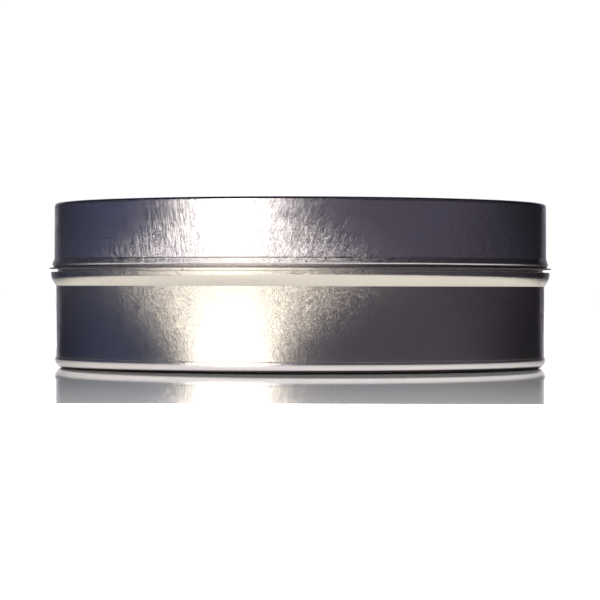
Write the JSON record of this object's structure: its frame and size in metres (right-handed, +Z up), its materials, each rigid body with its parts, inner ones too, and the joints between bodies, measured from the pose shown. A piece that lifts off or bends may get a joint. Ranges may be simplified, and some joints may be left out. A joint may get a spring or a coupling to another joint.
{
  "type": "round tin",
  "caption": "Shallow round tinplate tin: a lift-off slip lid with a pressed rib and thin edge flange, a body with a stop bead and curled mouth, and a rounded, recessed base.",
  "frame": {"origin": "on the tin's axis, in the plane of the ring that the base stands on", "axes": "+Z up along the tin's axis; the tin is round, so +X and +Y are free, and the picture looks along +Y"},
  "size_m": [0.1102, 0.1102, 0.0359],
  "materials": {
    "lid_tinplate": "bright tinplate with fine slanted rubbing marks",
    "body_tinplate": "bright tinplate with a fine rolled grain",
    "base_tinplate": "bright tinplate, a little worn on its ring"
  },
  "bodies": {
    "tin_body": {"body_wall": "body_tinplate", "base_end": "base_tinplate"},
    "tin_lid": {"lid": "lid_tinplate"}
  },
  "joints": [
    {"name": "lid_lift", "type": "slide", "parent": "tin_body", "child": "tin_lid", "axis": [0, 0, 1], "range_m": [0, 0.05]}
  ]
}
